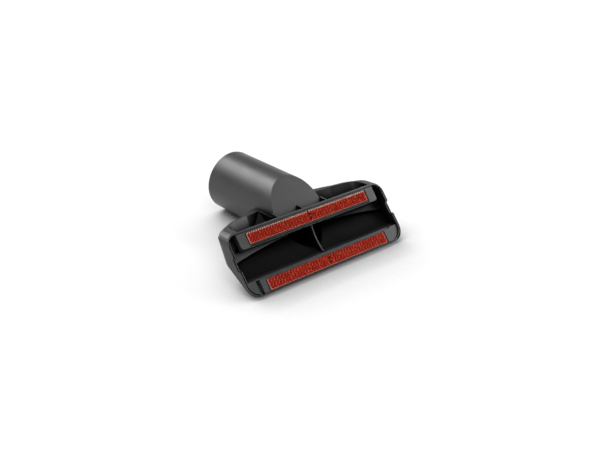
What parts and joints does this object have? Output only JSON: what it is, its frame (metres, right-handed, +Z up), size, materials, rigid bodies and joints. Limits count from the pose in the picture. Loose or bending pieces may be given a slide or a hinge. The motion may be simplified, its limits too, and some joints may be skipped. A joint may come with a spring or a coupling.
{
  "type": "vacuum upholstery nozzle",
  "caption": "Wide slanted suction head with a round hose socket, ribbed air duct, side air notches and two clip-in lifter bars faced with directional pile strips.",
  "frame": {"origin": "centre of the bounding box's underside, on the surface the nozzle lies on", "axes": "+X across the mouth, to the right when looking into the mouth from the front; +Y from the mouth back along the hose socket; +Z up. The nozzle lies on its lower lip and the heel of the socket, so the socket's axis falls 4.5 degrees to the rear"},
  "size_m": [0.1324, 0.1042, 0.0435],
  "materials": {
    "body_plastic": "fine satin grain, dark grey",
    "bar_plastic": "fine satin grain, dark grey",
    "pile": "short directional red pile"
  },
  "bodies": {
    "root": {"nozzle_body": "body_plastic", "upper_lifter_bar": "bar_plastic", "lower_lifter_bar": "bar_plastic", "upper_left_pile": "pile", "upper_right_pile": "pile", "lower_left_pile": "pile", "lower_right_pile": "pile"}
  },
  "joints": []
}
